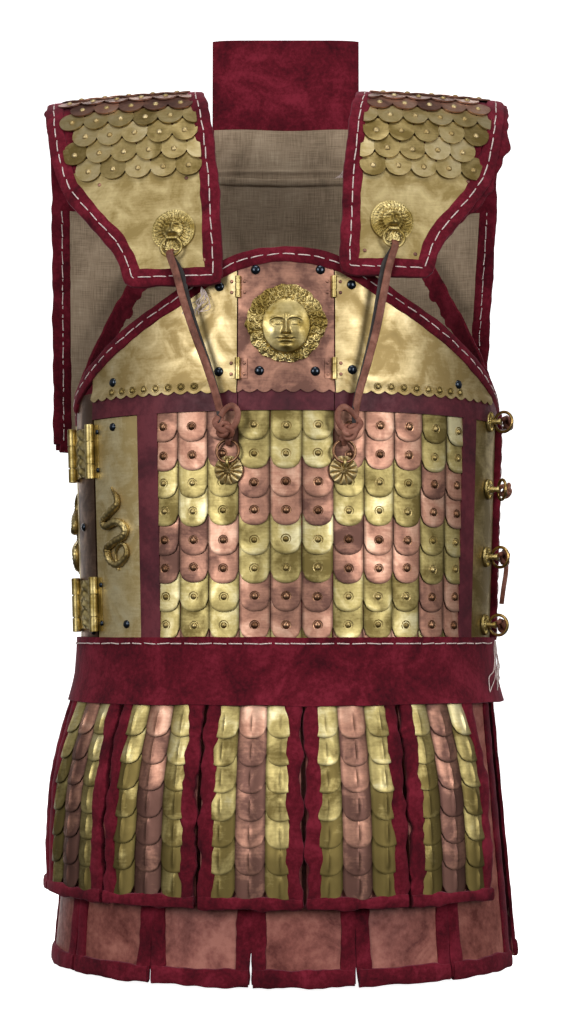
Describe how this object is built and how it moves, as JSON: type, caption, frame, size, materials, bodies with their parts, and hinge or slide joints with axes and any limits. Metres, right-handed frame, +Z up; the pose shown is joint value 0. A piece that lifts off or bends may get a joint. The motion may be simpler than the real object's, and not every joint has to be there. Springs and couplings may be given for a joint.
{
  "type": "tube-and-yoke scale cuirass",
  "caption": "Leather tube-and-yoke cuirass covered with brass and copper scales, with shoulder straps, a belt, a face medallion and a double skirt of strips.",
  "frame": {"origin": "under the shoulder straps, midway between them, where the cuirass sits on its wearer's shoulders", "axes": "+Z up, the front faces -Y, +X is the wearer's left"},
  "size_m": [0.476, 0.3237, 0.9435],
  "materials": {
    "suede": "dark crimson suede with a soft nap, worn darker along folds",
    "leather": "purple-red smooth leather with fine grain",
    "red_leather": "red-brown smooth leather, waxed",
    "linen": "tan-grey plain weave linen",
    "brass": "pale brass, hand polished, slightly tarnished",
    "copper": "pinkish copper, hand polished, slightly tarnished",
    "thong": "brown leather thong, worn"
  },
  "bodies": {
    "root": {"front_panel": "suede", "back_panel": "suede", "back_lining": "linen", "side_plate": "copper", "chest_plate_left": "brass", "chest_plate_centre": "copper", "chest_plate_right": "brass", "face_medallion": "brass", "chest_hinge_1": "brass", "chest_hinge_2": "brass", "chest_hinge_3": "brass", "chest_hinge_4": "brass", "front_frame": "leather", "back_frame": "leather", "front_scales": "brass", "back_scales": "brass", "front_hinge_plate": "brass", "front_snake": "brass", "back_hinge_plate": "brass", "back_snake": "brass", "side_hinge_upper": "brass", "side_hinge_lower": "brass", "front_closure_plate": "brass", "back_closure_plate": "brass", "closure_ring_1": "brass", "closure_ring_2": "brass", "closure_ring_3": "brass", "closure_ring_4": "brass", "closure_thong_1": "thong", "closure_thong_2": "thong", "closure_thong_3": "thong", "closure_thong_4": "thong", "yoke": "suede", "yoke_lining": "linen", "neck_guard": "suede", "shoulder_scales_left": "brass", "shoulder_scales_right": "brass", "shoulder_plate_left": "brass", "shoulder_plate_right": "brass", "lion_boss_left": "brass", "lion_boss_right": "brass", "lion_ring_left": "brass", "lion_ring_right": "brass", "tie_boss_left": "brass", "tie_boss_right": "brass", "tie_ring_left": "brass", "tie_ring_right": "brass", "shoulder_thong_left": "thong", "shoulder_thong_right": "thong", "belt": "suede", "upper_pteruges_front": "red_leather", "upper_pteruges_back": "red_leather", "pteruge_scales_1": "brass", "pteruge_scales_2": "brass", "pteruge_scales_3": "brass", "pteruge_scales_4": "brass", "pteruge_scales_5": "brass", "lower_pteruges_front": "red_leather", "lower_pteruges_back": "red_leather"}
  },
  "joints": []
}
